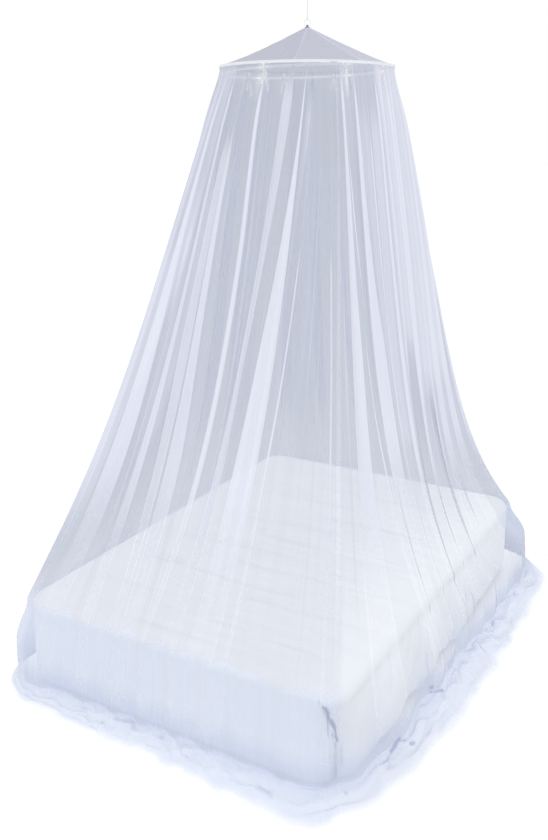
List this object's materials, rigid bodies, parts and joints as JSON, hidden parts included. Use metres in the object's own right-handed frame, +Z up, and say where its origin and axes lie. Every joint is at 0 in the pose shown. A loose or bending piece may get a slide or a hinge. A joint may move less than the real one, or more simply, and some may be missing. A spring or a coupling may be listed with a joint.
{
  "type": "mosquito net canopy on a hoop over a double bed",
  "caption": "Sheer white net hung from a cord and ring, with a shallow cone roof, a hoop tied under its seam and a flared skirt that falls over a plain bed to the floor.",
  "frame": {"origin": "on the floor under the middle of the bed", "axes": "+Z up; -Y towards the foot of the bed; +X towards the bed's long side on the right of someone who looks from the foot to the head"},
  "size_m": [1.6675, 2.2383, 2.6],
  "materials": {
    "net": "sheer white polyester netting, matt, lets light through",
    "tape": "woven binding tape, matt",
    "ribbon": "thin woven ribbon, soft sheen",
    "hoop_plastic": "satin white plastic",
    "bed_linen": "white quilted bedding, matt",
    "mattress_ticking": "woven ticking, matt",
    "divan_cloth": "plain upholstery cloth, matt",
    "white_metal": "white enamel",
    "tab_webbing": "dark violet webbing, matt",
    "cord": "braided white cord, matt"
  },
  "bodies": {
    "root": {"apex_tab": "tab_webbing", "bed_base": "divan_cloth", "mattress": "mattress_ticking", "bed_cover": "bed_linen", "ceiling_hook": "white_metal", "cord_loop_lower": "cord", "cord_loop_upper": "cord", "hanging_cord": "cord", "hanging_ring": "white_metal", "hoop": "hoop_plastic", "net_wall_foot": "net", "net_wall_right": "net", "net_wall_head": "net", "net_wall_left": "net", "roof_gore_1": "net", "roof_gore_2": "net", "roof_gore_3": "net", "roof_gore_4": "net", "roof_gore_5": "net", "roof_gore_6": "net", "roof_gore_7": "net", "roof_gore_8": "net", "seam_binding": "tape", "tie_1": "ribbon", "tie_2": "ribbon", "tie_3": "ribbon", "tie_4": "ribbon", "tie_5": "ribbon", "tie_6": "ribbon", "tie_7": "ribbon", "tie_8": "ribbon"}
  },
  "joints": []
}
